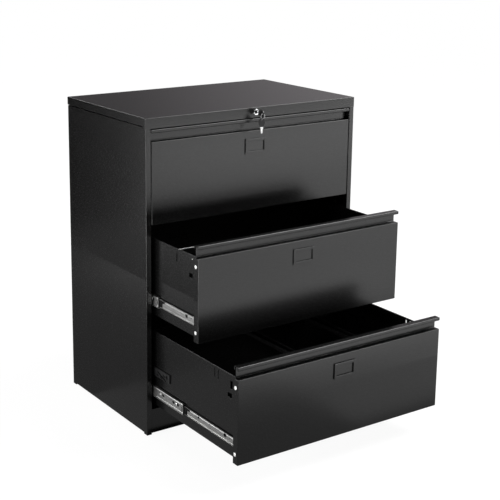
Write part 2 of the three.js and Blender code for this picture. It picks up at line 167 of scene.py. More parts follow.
# Holes in the webs: setback from a member's front end and rise from its middle, then length and height
OUTER_HOLE = mm(12, 6)
OUTER_HOLE_PLACES = mm(45, 225, 400)
MIDDLE_SLOT = mm(13, 8.6)
MIDDLE_SLOT_PLACES = mm(39, 63, 122, 330)
STOP_PLACE = 16 * MM
STOP_RADII = mm(12, 9)
STOP_ANGLES = (135, 225)
INNER_WINDOW = mm(48.5, 2.5, 13, 9.5)
INNER_HOLES = (
    mm(24, 3.5, 4.2, 4),
    mm(184.5, 4, 8, 6.5),
    mm(390, 0, 12, 6),
)

# Balls, cages and strips of the runners: a strip is given by where it starts and ends across; the strips
# are painted shade, near-black lines along the tops of the members
BALL_RADIUS = 1.4 * MM
BALL_PITCH = 7 * MM
BALL_COUNT = 21
BALL_MARGIN = 2 * MM
INNER_BALLS_ACROSS = 5.4 * MM
OUTER_BALLS_ACROSS = 3.6 * MM
CAGE_END_LENGTH = 26 * MM
CAGE_END_BLOCK = 12 * MM
CAGE_END_HEIGHT = 21 * MM
CAGE_END_PRONG = mm(4.5, 8.5)
CAGE_END_GAP = 1.5 * MM
CAGE_END_MARGIN = 2 * MM
RETAINER_SHORT = 4 * MM
SHADE_STRIP_HEIGHT = 2.2 * MM
MIDDLE_SHADE_STRIP = mm(6, 8)
INNER_SHADE_STRIP = mm(0, 2)

# Lock and keys
BORE_RADIUS = 6.3 * MM
BORE_CHAMFER = 0.8 * MM
BARREL_RADIUS = 9.2 * MM
BEZEL_PROUD = 3 * MM
BEZEL_SHRINK = 1.2 * MM
BEZEL_ROUND = 1.2 * MM
KEY_HEAD_LENGTH = 28 * MM
KEY_HOLE_RADIUS = 2.5 * MM
KEY_HOLE_INSET = 4.5 * MM
KEY_BLADE = mm(2, 7.4)
RING_WIRE = 0.6 * MM
RING_SHRINK = 1.4 * MM
SPARE_HEAD = mm(21, 29.6, 2.4)
SPARE_BRIDGE = 1.3 * MM
SPARE_HOLE_RADIUS = 3 * MM
SPARE_BLADE = mm(6, 20, 1.8)
SPARE_BLADE_SUNK = 1 * MM
SPARE_TIP = 2.4 * MM
SPARE_NOTCHES = 4
SPARE_NOTCH_REACH = 1 * MM
SPARE_NOTCH_DEPTH = 0.8 * MM
SPARE_COLLAR = mm(9, 6, 2.88)
SPARE_ASIDE = 4.2 * MM
SPARE_RISE = 0.9 * MM
SPARE_TURN = math.radians(-8)

# The photograph's camera: principal point and focal length in pixels of a 500 by 500 picture
PICTURE = 500
PRINCIPAL = (200, 175)
FOCAL = 1144.5
SENSOR = 36
CLIP_END = 100
CAMERA_PLACE = (-2.0806, -2.8613, 1.5708)
CAMERA_YAW = math.radians(33.405)
CAMERA_PITCH = math.radians(-12.625)
CAMERA_ROLL = math.radians(0.282)


# Materials

# Most values of a noise lie in this range
NOISE_RANGE = (0.3, 0.7)
# Sockets of a colour mix, by number because their names repeat
MIX_FACTOR, MIX_FIRST, MIX_SECOND, MIX_RESULT = 0, 6, 7, 2

# How much a finish varies: shares of its colour, and steps, shares or a range of its roughness
PAINT_TONES = (0.88, 1.12)
PAINT_STEP = 0.04
PAINT_IOR = 1.5
ZINC_DARK = (0.46, 0.46, 0.455)
ZINC_LIGHT = (0.56, 0.56, 0.55)
ZINC_ROUGHNESS = (0.28, 0.38)
BRIGHT_TONE = 0.94
BRIGHT_SHARES = (0.7, 1.4)
PLASTIC_TONE = 0.85
PLASTIC_STEP = 0.05

# The floor's own light: from one distance in metres to another it rises from one strength to another
GLOW_DISTANCES = (0.8, 2.4)
GLOW_STRENGTHS = (0.94, 1)
FLOOR_COLOUR = (0.1, 0.1, 0.1, 1)
FLOOR_ROUGHNESS = 0.9
WHITE = (1, 1, 1, 1)


def blank(name):
    """A new material, its node tree and its shader."""
    material = bpy.data.materials.new(name)
    material.use_nodes = True
    tree = material.node_tree
    shader = next(node for node in tree.nodes if node.type == "BSDF_PRINCIPLED")
    return material, tree, shader


def noise(tree, scale, detail, stretch=(1, 1, 1)):
    """Noise on the piece's own coordinates."""
    place = tree.nodes.new("ShaderNodeTexCoord")
    mapping = tree.nodes.new("ShaderNodeMapping")
    mapping.inputs["Scale"].default_value = stretch
    texture = tree.nodes.new("ShaderNodeTexNoise")
    texture.inputs["Scale"].default_value = scale
    texture.inputs["Detail"].default_value = detail
    tree.links.new(place.outputs["Object"], mapping.inputs["Vector"])
    tree.links.new(mapping.outputs["Vector"], texture.inputs["Vector"])
    return texture.outputs["Fac"]


def ranged(tree, value, source, target):
    """A value carried from one range to another."""
    node = tree.nodes.new("ShaderNodeMapRange")
    for prefix, (low, high) in (("From", source), ("To", target)):
        node.inputs[f"{prefix} Min"].default_value = low
        node.inputs[f"{prefix} Max"].default_value = high
    tree.links.new(value, node.inputs["Value"])
    return node.outputs["Result"]


def spread(tree, value, low, high):
    """Stretches a noise value over a range."""
    return ranged(tree, value, NOISE_RANGE, (low, high))


def scaled(values, share):
    return [value * share for value in values]


def tint(tree, value, dark, light):
    """A colour between two by a noise value."""
    node = tree.nodes.new("ShaderNodeMix")
    node.data_type = "RGBA"
    tree.links.new(spread(tree, value, 0, 1), node.inputs[MIX_FACTOR])
    node.inputs[MIX_FIRST].default_value = (*dark, 1)
    node.inputs[MIX_SECOND].default_value = (*light, 1)
    return node.outputs[MIX_RESULT]


def relief(tree, shader, value, strength, depth):
    """Bumps on a surface by a noise value."""
    node = tree.nodes.new("ShaderNodeBump")
    node.inputs["Strength"].default_value = strength
    node.inputs["Distance"].default_value = depth
    tree.links.new(value, node.inputs["Height"])
    tree.links.new(node.outputs["Normal"], shader.inputs["Normal"])


def powder_coat(name, colour, roughness):
    """Satin paint with a fine orange peel, a little uneven in tone."""
    material, tree, shader = blank(name)
    mottle = noise(tree, scale=9, detail=4)
    peel = noise(tree, scale=480, detail=3)
    dark, light = [scaled(colour, share) for share in PAINT_TONES]
    tree.links.new(tint(tree, mottle, dark, light), shader.inputs["Base Color"])
    gloss = spread(tree, peel, roughness - PAINT_STEP, roughness + PAINT_STEP)
    tree.links.new(gloss, shader.inputs["Roughness"])
    shader.inputs["IOR"].default_value = PAINT_IOR
    relief(tree, shader, peel, strength=0.12, depth=0.04 * MM)
    return material


def zinc_plate(name):
    """Rolled and plated steel, with faint lines along its length."""
    material, tree, shader = blank(name)
    lines = noise(tree, scale=60, detail=3, stretch=(30, 0.6, 30))
    bloom = noise(tree, scale=45, detail=4)
    shader.inputs["Metallic"].default_value = 1
    tree.links.new(tint(tree, bloom, ZINC_DARK, ZINC_LIGHT), shader.inputs["Base Color"])
    tree.links.new(spread(tree, lines, *ZINC_ROUGHNESS), shader.inputs["Roughness"])
    relief(tree, shader, lines, strength=0.15, depth=0.03 * MM)
    return material


def bright_metal(name, colour, roughness, metallic=1):
    """Polished plate with faint handling marks."""
    material, tree, shader = blank(name)
    marks = noise(tree, scale=160, detail=5)
    shader.inputs["Metallic"].default_value = metallic
    tree.links.new(tint(tree, marks, scaled(colour, BRIGHT_TONE), colour), shader.inputs["Base Color"])
    low, high = scaled(BRIGHT_SHARES, roughness)
    tree.links.new(spread(tree, marks, low, high), shader.inputs["Roughness"])
    return material


def moulded_plastic(name, colour, roughness, gloss=0.5):
    """Plastic with a fine grain."""
    material, tree, shader = blank(name)
    shader.inputs["Specular IOR Level"].default_value = gloss
    grain = noise(tree, scale=900, detail=2)
    tree.links.new(tint(tree, grain, scaled(colour, PLASTIC_TONE), colour), shader.inputs["Base Color"])
    matt = spread(tree, grain, roughness - PLASTIC_STEP, roughness + PLASTIC_STEP)
    tree.links.new(matt, shader.inputs["Roughness"])
    relief(tree, shader, grain, strength=0.08, depth=0.03 * MM)
    return material


def floor_paint(name):
    """A pale floor that is bright of itself, a little less so near the object: painted shade round it,
    where the lamps' soft shadows lie.
    """
    material, tree, shader = blank(name)
    place = tree.nodes.new("ShaderNodeTexCoord")
    distance = tree.nodes.new("ShaderNodeVectorMath")
    distance.operation = "LENGTH"
    tree.links.new(place.outputs["Object"], distance.inputs[0])
    glow = ranged(tree, distance.outputs["Value"], GLOW_DISTANCES, GLOW_STRENGTHS)
    tree.links.new(glow, shader.inputs["Emission Strength"])
    shader.inputs["Base Color"].default_value = FLOOR_COLOUR
    shader.inputs["Roughness"].default_value = FLOOR_ROUGHNESS
    shader.inputs["Specular IOR Level"].default_value = 0
    shader.inputs["Emission Color"].default_value = WHITE
    return material


casing_paint = powder_coat("casing_powder_coat", colour=(0.0026, 0.0025, 0.0025), roughness=0.25)
drawer_paint = powder_coat("drawer_powder_coat", colour=(0.0025, 0.0025, 0.0025), roughness=0.25)
zinc = zinc_plate("zinc_plate")
screw_metal = bright_metal("screw_plate", colour=(0.93, 0.93, 0.92), roughness=0.3, metallic=0.5)
chrome = bright_metal("chrome_plate", colour=(0.8, 0.8, 0.81), roughness=0.08)
steel = bright_metal("dark_steel", colour=(0.1, 0.1, 0.1), roughness=0.25)
ring_metal = bright_metal("ring_plate", colour=(0.7, 0.7, 0.7), roughness=0.3, metallic=0.6)
black_plastic = moulded_plastic("black_plastic", colour=(0.006, 0.006, 0.0063), roughness=0.4)
# Near-black and almost glossless: the ball cages' plastic, darkened as painted shade of the recesses they
# sit in, and the plates and strips that are only painted shade
cage_plastic_and_painted_shade = moulded_plastic("cage_plastic_and_painted_shade", colour=(0.003, 0.003, 0.003), roughness=0.6, gloss=0.1)
FINISHES = {
    "casing_paint": casing_paint,
    "drawer_paint": drawer_paint,
    "zinc": zinc,
    "chrome": chrome,
    "black_plastic": black_plastic,
}


# Outlines

# How a point (u, v) of an outline, at w along an axis, lies in space
TURNS = {
    "x": lambda u, v, w: (w, u, v),
    "y": lambda u, v, w: (u, w, v),
    "z": lambda u, v, w: (u, v, w),
}


def arc(u, v, radius, start, end, steps=6):
    """Points of an arc between two angles in degrees."""
    angles = [math.radians(start + (end - start) * i / steps) for i in range(steps + 1)]
    return [(u + radius * math.cos(a), v + radius * math.sin(a)) for a in angles]


def circle(u, v, radius, steps=24):
    return arc(u, v, radius, 0, 360 - 360 / steps, steps - 1)


def ellipse(u, v, long, tall, steps=40):
    angles = [2 * math.pi * i / steps for i in range(steps)]
    return [(u + long / 2 * math.cos(a), v + tall / 2 * math.sin(a)) for a in angles]


def stadium(u, v, length, width):
    """A slot's outline, long in u."""
    reach = (length - width) / 2
    first = arc(u + reach, v, width / 2, -90, 90, steps=8)
    return first + arc(u - reach, v, width / 2, 90, 270, steps=8)


def rectangle(u, v, width, height):
    """A rectangle's outline about its middle."""
    return [(u + i * width / 2, v + j * height / 2) for i, j in ((-1, -1), (1, -1), (1, 1), (-1, 1))]


def stroke(start, end, width):
    """The outline of a straight groove."""
    first, last = Vector(start), Vector(end)
    along = (last - first).normalized()
    aside = Vector((-along.y, along.x)) * width / 2
    return [tuple(point) for point in (first - aside, last - aside, last + aside, first + aside)]


def filleted(points, radius, steps=4):
    """An open path with its corners rounded."""
    path = [points[0]]
    for before, corner, after in zip(points, points[1:], points[2:]):
        corner = Vector(corner)
        back = Vector(before) - corner
        on = Vector(after) - corner
        reach = min(radius, back.length / 2, on.length / 2)
        start = corner + back.normalized() * reach
        end = corner + on.normalized() * reach
        for i in range(steps + 1):
            t = i / steps
            path.append(tuple((1 - t) ** 2 * start + 2 * t * (1 - t) * corner + t ** 2 * end))
    path.append(points[-1])
    return path


def ribbon(path, thickness):
    """The closed outline of a strip that follows a path."""
    left, right = [], []
    for i, point in enumerate(path):
        along = (Vector(path[min(i + 1, len(path) - 1)]) - Vector(path[max(i - 1, 0)])).normalized()
        aside = Vector((-along.y, along.x)) * thickness / 2
        left.append(tuple(Vector(point) + aside))
        right.append(tuple(Vector(point) - aside))
    return left + right[::-1]


def facing(axis, at, u0, u1, v0, v1):
    """The corners of a rectangle that faces along an axis."""
    return [TURNS[axis](u, v, at) for u, v in ((u0, v0), (u1, v0), (u1, v1), (u0, v1))]


# Meshes

# Corners that agree to this many digits are one, and a radius below this one lies on the axis
CORNER_DIGITS = 6
AXIS_RADIUS = 1e-7


def mesh_of(bm, name):
    """A mesh with smooth faces."""
    mesh = bpy.data.meshes.new(name)
    for face in bm.faces:
        face.smooth = True
    bm.to_mesh(mesh)
    bm.free()
    return mesh


def corner_key(point):
    return tuple(round(c, CORNER_DIGITS) for c in point)


def sheet_mesh(name, polygons):
    """The outer side of a folded sheet: flat polygons that share corners and face away from its middle."""
    points = [Vector(point) for polygon in polygons for point in polygon]
    low = Vector([min(point[i] for point in points) for i in range(3)])
    high = Vector([max(point[i] for point in points) for i in range(3)])
    middle = (low + high) / 2
    bm = bmesh.new()
    corners = {}
    for point in points:
        if corner_key(point) not in corners:
            corners[corner_key(point)] = bm.verts.new(point)
    for polygon in polygons:
        face = bm.faces.new([corners[corner_key(Vector(point))] for point in polygon])
        face.normal_update()
        if face.normal.dot(face.calc_center_median() - middle) < 0:
            face.normal_flip()
    return mesh_of(bm, name)


def prism_mesh(name, outline, axis, start, end):
    """A closed outline pushed along an axis."""
    turn = TURNS[axis]
    bm = bmesh.new()
    near = [bm.verts.new(turn(u, v, start)) for u, v in outline]
    far = [bm.verts.new(turn(u, v, end)) for u, v in outline]
    bm.faces.new(near)
    bm.faces.new(far)
    for i in range(len(outline)):
        j = (i + 1) % len(outline)
        bm.faces.new([near[i], near[j], far[j], far[i]])
    bmesh.ops.recalc_face_normals(bm, faces=bm.faces)
    return mesh_of(bm, name)


def lathe_mesh(name, profile, steps, closed=False):
    """A profile of (radius, along) turned about the Y axis."""
    bm = bmesh.new()
    rings = []
    for radius, along in profile:
        if radius < AXIS_RADIUS:
            rings.append([bm.verts.new((0, along, 0))])
            continue
        angles = [2 * math.pi * i / steps for i in range(steps)]
        rings.append([bm.verts.new((radius * math.cos(a), along, radius * math.sin(a))) for a in angles])
    following = rings[1:] + (rings[:1] if closed else [])
    for ring, after in zip(rings, following):
        for i in range(steps):
            j = (i + 1) % steps
            near = [ring[k % len(ring)] for k in (i, j)]
            far = [after[k % len(after)] for k in (j, i)]
            corners = list(dict.fromkeys(near + far))
            if len(corners) > 2:
                bm.faces.new(corners)
    bmesh.ops.recalc_face_normals(bm, faces=bm.faces)
    return mesh_of(bm, name)


def moved(mesh, matrix):
    """The mesh, moved or mirrored by a matrix."""
    mesh.transform(matrix)
    if matrix.determinant() < 0:
        mesh.flip_normals()
    return mesh


def mirrored(mesh):
    return moved(mesh.copy(), Matrix.Scale(-1, 4, Vector((1, 0, 0))))


def both_sides(mesh):
    """A mesh that is made for the left side, and its mirror image for the right."""
    return {"left": mesh, "right": mirrored(mesh)}


def joined(name, meshes):
    """One mesh of several."""
    bm = bmesh.new()
    for mesh in meshes:
        bm.from_mesh(mesh)
    return mesh_of(bm, name)


def linked(name, data):
    """A new object in the scene."""
    thing = bpy.data.objects.new(name, data)
    bpy.context.scene.collection.objects.link(thing)
    return thing


def baked(draft):
    """The mesh of a draft object as its modifiers leave it, without the draft."""
    bpy.context.view_layer.update()
    result = bpy.data.meshes.new_from_object(draft.evaluated_get(bpy.context.evaluated_depsgraph_get()))
    result.name = draft.data.name
    bpy.data.objects.remove(draft)
    return result


def cut(mesh, cutters):
    """The mesh without what the cutters take out of it."""
    draft = linked("draft", mesh)
    tool = linked("tool", joined("tool", cutters))
    step = draft.modifiers.new("cut", "BOOLEAN")
    step.operation = "DIFFERENCE"
    step.solver = "EXACT"
    step.object = tool
    result = baked(draft)
    bpy.data.objects.remove(tool)
    return result


# Pieces

def bevel(piece, width, segments, angle):
    edge = piece.modifiers.new("edge", "BEVEL")
    edge.width = width
    edge.segments = segments
    edge.limit_method = "ANGLE"
    edge.angle_limit = math.radians(angle)
    edge.miter_outer = "MITER_ARC"


def piece_of(name, mesh, slot, body, place=(0, 0, 0), stands_for=(), material=None):
    """A piece that rides on a body, in its slot's finish or a material of its own."""
    piece = linked(name, mesh)
    piece.location = place
    if not mesh.materials:
        mesh.materials.append(material or FINISHES[slot])
    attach(piece, body)
    if stands_for:
        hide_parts(*stands_for)
    return piece


def thicken(piece, thickness):
    """Rounds the folds of an open sheet and gives it its thickness."""
    bevel(piece, FOLD, segments=4, angle=FOLD_ANGLE)
    solid = piece.modifiers.new("thickness", "SOLIDIFY")
    solid.thickness = thickness
    solid.offset = -1
    solid.use_even_offset = True


def rounded(piece, width, segments=2, angle=EDGE_ANGLE):
    bevel(piece, width, segments, angle)
    piece.modifiers.new("normals", "WEIGHTED_NORMAL")


def smooth_rim(piece):
    rounded(piece, RIM, angle=RIM_ANGLE)


def folded(piece, thickness):
    """Makes folded sheet metal of an open sheet."""
    thicken(piece, thickness)
    smooth_rim(piece)


def soften(name, material, width=CAD_EDGE):
    """A CAD node with its own shape, a better finish and rounded edges."""
    node = nodes[name]
    node.material_slots[0].material = material
    weld = node.modifiers.new("weld", "WELD")
    weld.merge_threshold = WELD_REACH
    flat = node.modifiers.new("flat", "DECIMATE")
    flat.decimate_type = "DISSOLVE"
    flat.angle_limit = FLAT_ANGLE
    rounded(node, width)


def size_of(node):
    low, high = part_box(node)
    return high - low


# Casing

def top_cap():
    """The top with a front skirt that is folded back, and lower skirts at the sides and the rear."""
    low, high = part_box("top_panel")
    foot = low.z + FRONT_SKIRT_LIFT
    skirt = high.z - SIDE_SKIRT
    back = low.y + FRONT_SKIRT_RETURN
    polygons = [
        facing("z", high.z, low.x, high.x, low.y, high.y),
        facing("y", low.y, low.x, high.x, foot, high.z),
        facing("y", high.y, low.x, high.x, skirt, high.z),
        facing("z", foot, low.x, high.x, low.y, back),
    ]
    for x in (low.x, high.x):
        polygons.append([
            (x, low.y, foot), (x, low.y, high.z), (x, high.y, high.z),
            (x, high.y, skirt), (x, back, skirt), (x, back, foot),
        ])
    mesh = sheet_mesh("top_cap", polygons)
    folded(piece_of("top_cap", mesh, "casing_paint", "cabinet", stands_for=["top_panel"]), TOP_SHEET)


def side_shell(side, s):
    """A side folded round the front as a stile, with a tongue behind the seam under the top's skirt."""
    low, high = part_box(f"side_panel_{side}")
    face = s * max(abs(low.x), abs(high.x))
    edge = face - s * STILE
    flange = face - s * REAR_FLANGE
    cap_low, cap_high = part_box("top_panel")
    top = cap_high.z - SIDE_SKIRT - SIDE_SEAM
    stile_top = cap_low.z + FRONT_SKIRT_LIFT + STILE_OVERLAP
    step = low.y + FRONT_SKIRT_RETURN + SEAT
    front, rear, bottom = low.y, high.y, low.z
    tongue = s * (cap_high.x - SIDE_SEAM_DEPTH)
    lip = face - s * SIDE_SEAM
    stop = rear - 2 * SHEET
    polygons = [
        facing("x", edge, front, front + STILE_RETURN, bottom, stile_top),
        facing("y", front, edge, face, bottom, stile_top),
        [(face, front, bottom), (face, rear, bottom), (face, rear, top), (face, step, top),
         (face, step, stile_top), (face, front, stile_top)],
        facing("y", rear, face, flange, bottom, top),
        facing("x", tongue, step + SHEET, stop, stile_top, high.z),
        facing("y", stop, tongue + s * SHEET, lip, stile_top, high.z),
    ]
    mesh = sheet_mesh(f"side_shell_{side}", polygons)
    piece = piece_of(mesh.name, mesh, "casing_paint", "cabinet", stands_for=[f"side_panel_{side}"])
    folded(piece, SHEET)


def plinth_face():
    """A plate on the plinth that closes the seams beside the stiles."""
    low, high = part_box("base_pan")
    side_low, side_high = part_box("side_panel_right")
    reach = side_high.x - STILE + FOLD / 2
    face = side_low.y + SEAT
    outline = rectangle(0, (low.z + high.z) / 2, 2 * reach, high.z - low.z)
    mesh = prism_mesh("plinth_face", outline, "y", face, face + SHEET)
    rounded(piece_of("plinth_face", mesh, "casing_paint", "cabinet"), CAD_EDGE)


def casing():
    top_cap()
    for side, s in SIDES:
        side_shell(side, s)
        for end in ("front", "rear"):
            soften(f"upright_{end}_{side}", casing_paint)
            soften(f"foot_{end}_{side}", black_plastic, FOOT_EDGE)
    soften("back_panel", casing_paint, SMALL_EDGE)
    soften("base_pan", casing_paint)
    plinth_face()


# Screws and rivets

def dome(shares, radius, height):
    return [(radius * across, height * up) for across, up in shares]


def screw_mesh(s):
    """A low round head with a cross recess, lying on a side flange that faces s along X."""
    rim = [(SCREW_RADIUS, 0), (SCREW_RADIUS, -SCREW_SUNK), (0, -SCREW_SUNK)]
    head = lathe_mesh("screw", dome(SCREW_DOME, SCREW_RADIUS, SCREW_PROUD) + rim, steps=32)
    for width, height in ((RECESS_LENGTH, RECESS_WIDTH), (RECESS_WIDTH, RECESS_LENGTH)):
        recess = prism_mesh("recess", rectangle(0, 0, width, height), "y", RECESS_FLOOR, 2 * SCREW_PROUD)
        head = cut(head, [recess])
    return moved(head, Matrix.Rotation(-s * math.pi / 2, 4, "Z"))


def rivet_mesh(radius):
    """A rivet's head that faces -X."""
    foot = [(radius, RUNNER_SHEET / 2), (0, RUNNER_SHEET / 2)]
    head = lathe_mesh("rivet", dome(RIVET_DOME, radius, -RIVET_PROUD) + foot, steps=24)
    return moved(head, Matrix.Rotation(-math.pi / 2, 4, "Z"))


# Drawers

def front_mesh():
    """A shallow pan with flanges at the sides, the foot and the top."""
    width, depth, height = size_of("upper_front")
    back = PULL_RECESS - SEAT
    left, right = FRONT_TRIM, width - FRONT_TRIM
    polygons = [
        facing("y", 0, left, right, 0, height),
        facing("z", height, left, right, 0, back),
        facing("z", 0, left, right, 0, depth),
    ]
    for x in (left, right):
        polygons.append([(x, 0, 0), (x, 0, height), (x, back, height), (x, depth, height), (x, depth, 0)])
    return sheet_mesh("front_pan", polygons)


def pull_mesh():
    """A lip as wide as the front, and a shorter web that stands behind the front's top edge."""
    width, depth, height = size_of("upper_pull")
    low = height - LIP_HEIGHT
    inside = height - PULL_SHEET
    lip = [
        *arc(LIP_ROUND, height - LIP_ROUND, LIP_ROUND, 180, 90),
        *arc(depth - LIP_ROUND, height - LIP_ROUND, LIP_ROUND, 90, 0),
        (depth, low),
        (depth - PULL_SHEET, low),
        (depth - PULL_SHEET, inside),
        (LIP_THICKNESS, inside),
        *arc(LIP_THICKNESS - LIP_FOOT_ROUND, low + LIP_FOOT_ROUND, LIP_FOOT_ROUND, 0, -90),
        *arc(LIP_FOOT_ROUND, low + LIP_FOOT_ROUND, LIP_FOOT_ROUND, -90, -180),
    ]
    foot = PULL_TAIL + 2 * PULL_BEAD
    back = PULL_RECESS + PULL_SHEET
    web = [(back, 0), (back, inside + SEAT), (PULL_RECESS, inside + SEAT),
           *arc(PULL_RECESS, foot, PULL_BEAD, 90, 270), (PULL_RECESS, 0)]
    return joined("pull_lip", [
        prism_mesh("lip", lip, "x", FRONT_TRIM, width - FRONT_TRIM),
        prism_mesh("web", web, "x", PULL_INSET, width - PULL_INSET),
    ])


def label_frame_mesh():
    """A raised frame round an empty window."""
    width, _, height = size_of("upper_label_holder")
    frame_outline = rectangle(0, 0, width, height)
    window_outline = rectangle(0, 0, width - 2 * LABEL_BORDER, height - 2 * LABEL_BORDER)
    window = prism_mesh("window", window_outline, "y", -2 * LABEL_PROUD, LABEL_PROUD)
    return cut(prism_mesh("label_frame", frame_outline, "y", -LABEL_PROUD, 0), [window])


def cam_mesh():
    """The plate of a drawer's interlock cam on the tray's left side, with its grooves."""
    whole = rectangle(CAM_LENGTH / 2, CAM_HEIGHT / 2, CAM_LENGTH, CAM_HEIGHT)
    plate = prism_mesh("cam_plate", whole, "x", -CAM_THICKNESS, 0)
    for groove in CAM_GROOVES:
        plate = cut(plate, [prism_mesh("groove", stroke(*groove), "x", -2 * CAM_THICKNESS, CAM_THICKNESS)])
    return plate


def cam_groove_shade_mesh():
    """The dark ground behind a cam's grooves: a near-black plate that is painted shade in the grooves."""
    length, height = CAM_LENGTH - 2 * CAM_GROOVE_SHADE_INSET, CAM_HEIGHT - 2 * CAM_GROOVE_SHADE_INSET
    outline = rectangle(CAM_LENGTH / 2, CAM_HEIGHT / 2, length, height)
    return prism_mesh("cam_groove_shade", outline, "x", -2 * SEAT, -SEAT)


def tray_sheet(half, front, rear, low, high):
    """Floor, walls and hemmed tops of a tray."""
    foot = facing("z", low, -half, half, front, rear)
    top = facing("z", high, -half, half, front, rear)
    hem = facing("z", high, HEM - half, half - HEM, front + HEM, rear - HEM)
    polygons = [foot]
    for i in range(4):
        j = (i + 1) % 4
        polygons.append([foot[i], foot[j], top[j], top[i]])
        polygons.append([top[i], top[j], hem[j], hem[i]])
    return sheet_mesh("tray", polygons)


def tray_half(level):
    """Half the width of a tray, which lies between its inner runner members."""
    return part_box(f"{level}_runner_inner_right")[0].x - SEAT


def tray_mesh(level, holes, tabs):
    """A tray with holes in its sides, ears behind the front's flanges and tabs that stand out of slits."""
    foot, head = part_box(f"{level}_front")
    low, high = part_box(f"{level}_tray")
    half = tray_half(level)
    front = low.y + EAR_REACH - foot.y
    top = head.z - foot.z - TRAY_TOP_DROP
    draft = linked("draft", tray_sheet(half, front, high.y - foot.y, low.z - foot.z, top))
    thicken(draft, SHEET)
    cutters = []
    extras = []
    for _, s in SIDES:
        for hole in holes:
            outline = rectangle(*hole)
            cutters.append(prism_mesh("hole", outline, "x", s * half - 2 * SHEET, s * half + 2 * SHEET))
        for setback, rise, length, height in tabs:
            outline = rectangle(setback, rise, length - SEAT, height - SEAT)
            extras.append(prism_mesh("tab", outline, "x", s * (half - SHEET), s * (half + RAIL_TAB_PROUD)))
        ear = s * (high.x - FRONT_TRIM - EAR_SHEET / 2)
        path = [(s * (half - HEM), front), (ear, front), (ear, front - EAR_REACH)]
        extras.append(prism_mesh("ear", ribbon(filleted(path, FOLD), EAR_SHEET), "z", EAR_LOW, EAR_HIGH))
    return joined(f"{level}_tray", [cut(baked(draft), cutters), *extras])


def tray_piece(level, holes, tabs):
    foot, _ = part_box(f"{level}_front")
    mesh = tray_mesh(level, holes, tabs)
    place = (0, foot.y, foot.z)
    tray = [f"{level}_tray"]
    smooth_rim(piece_of(f"{level}_folded_tray", mesh, "drawer_paint", f"{level}_drawer", place, tray))


def railed_tray(level):
    """A tray with a file rail, which has a bare metal edge and a rivet at each end; below its edge the
    rail wears the drawer's dark paint as painted shade.
    """
    body = f"{level}_drawer"
    tray_piece(level, (SQUARE_HOLE, FRONT_SLIT, RAIL_SLOT), (FRONT_SLIT,))
    # The rail's body below its bare metal edge is painted dark: painted shade of the drawer's dark inside
    soften(f"{level}_file_rail", drawer_paint)
    low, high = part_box(f"{level}_file_rail")
    edge = rectangle((low.y + high.y) / 2, high.z - RAIL_STRIP / 2, high.y - low.y + 2 * SEAT, RAIL_STRIP)
    strip = prism_mesh("rail_edge", edge, "x", low.x, high.x)
    rounded(piece_of(f"{level}_rail_edge", strip, "zinc", body), BLUNT_EDGE)
    foot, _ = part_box(f"{level}_front")
    setback, rise = RAIL_RIVET
    rivet = both_sides(rivet_mesh(RAIL_RIVET_RADIUS))
    for side, s in SIDES:
        place = (s * tray_half(level), foot.y + setback, foot.z + rise)
        piece_of(f"{level}_rail_rivet_{side}", rivet[side], "zinc", body, place, material=screw_metal)


def file_bar(node):
    """A bar for hanging files: a channel from front to back that is open at its top."""
    low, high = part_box(node)
    left, right = low.x + BAR_INSET, high.x - BAR_INSET
    path = [(left, high.z), (left, low.z + SHEET), (right, low.z + SHEET), (right, high.z)]
    mesh = prism_mesh("file_channel", ribbon(filleted(path, FOLD), SHEET), "y", low.y, high.y)
    name = node.replace("bar", "channel")
    rounded(piece_of(name, mesh, "drawer_paint", "lower_drawer", stands_for=[node]), RIM)


def drawer_front(level, front, pull, label_frame):
    """The front of one drawer with its pull and its label frame."""
    body = f"{level}_drawer"
    low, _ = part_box(f"{level}_front")
    folded(piece_of(f"{level}_front_pan", front, "drawer_paint", body, low, [f"{level}_front"]), SHEET)
    pull_low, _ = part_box(f"{level}_pull")
    lip = piece_of(f"{level}_pull_lip", pull, "drawer_paint", body, pull_low, [f"{level}_pull"])
    rounded(lip, SMALL_EDGE)
    label_low, label_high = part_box(f"{level}_label_holder")
    place = ((label_low.x + label_high.x) / 2, low.y, (label_low.z + label_high.z) / 2)
    holder = [f"{level}_label_holder"]
    label = piece_of(f"{level}_label_frame", label_frame, "drawer_paint", body, place, holder)
    rounded(label, LABEL_EDGE, segments=4)


def drawer_cam(level, cam, cam_groove_shade):
    """The interlock cam on the left side of one drawer."""
    body = f"{level}_drawer"
    low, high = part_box(f"{level}_interlock_cam")
    place = low + Vector((0, *CAM_SHIFT))
    place.x = high.x
    solid = [f"{level}_interlock_cam"]
    rounded(piece_of(f"{level}_cam_plate", cam, "black_plastic", body, place, solid), BLUNT_EDGE)
    # A near-black plate behind the cam's grooves: painted shade that makes them look deep
    piece_of(f"{level}_cam_groove_shade", cam_groove_shade, "black_plastic", body, place, material=cage_plastic_and_painted_shade)


def drawer_screws(level, screws):
    """The screws in the side flanges of one front."""
    body = f"{level}_drawer"
    low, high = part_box(f"{level}_front")
    for side, s in SIDES:
        face = (high.x if s > 0 else low.x) - s * FRONT_TRIM
        for number, rise in enumerate(SCREW_HEIGHTS):
            name = f"{level}_front_screw_{side}_{number}"
            place = (face, low.y + SCREW_SETBACK, low.z + rise)
            piece_of(name, screws[side], "zinc", body, place, material=screw_metal)


def drawers():
    front = front_mesh()
    pull = pull_mesh()
    label_frame = label_frame_mesh()
    cam = cam_mesh()
    cam_groove_shade = cam_groove_shade_mesh()
    screws = {side: screw_mesh(s) for side, s in SIDES}
    for level in LEVELS:
        drawer_front(level, front, pull, label_frame)
        drawer_cam(level, cam, cam_groove_shade)
        drawer_screws(level, screws)
    for level in ("middle", "upper"):
        railed_tray(level)
    tray_piece("lower", (SQUARE_HOLE, FRONT_SLIT, REAR_SLIT, FRONT_SLOT), ())
    for side, _ in SIDES:
        file_bar(f"lower_file_bar_{side}")


# Runners

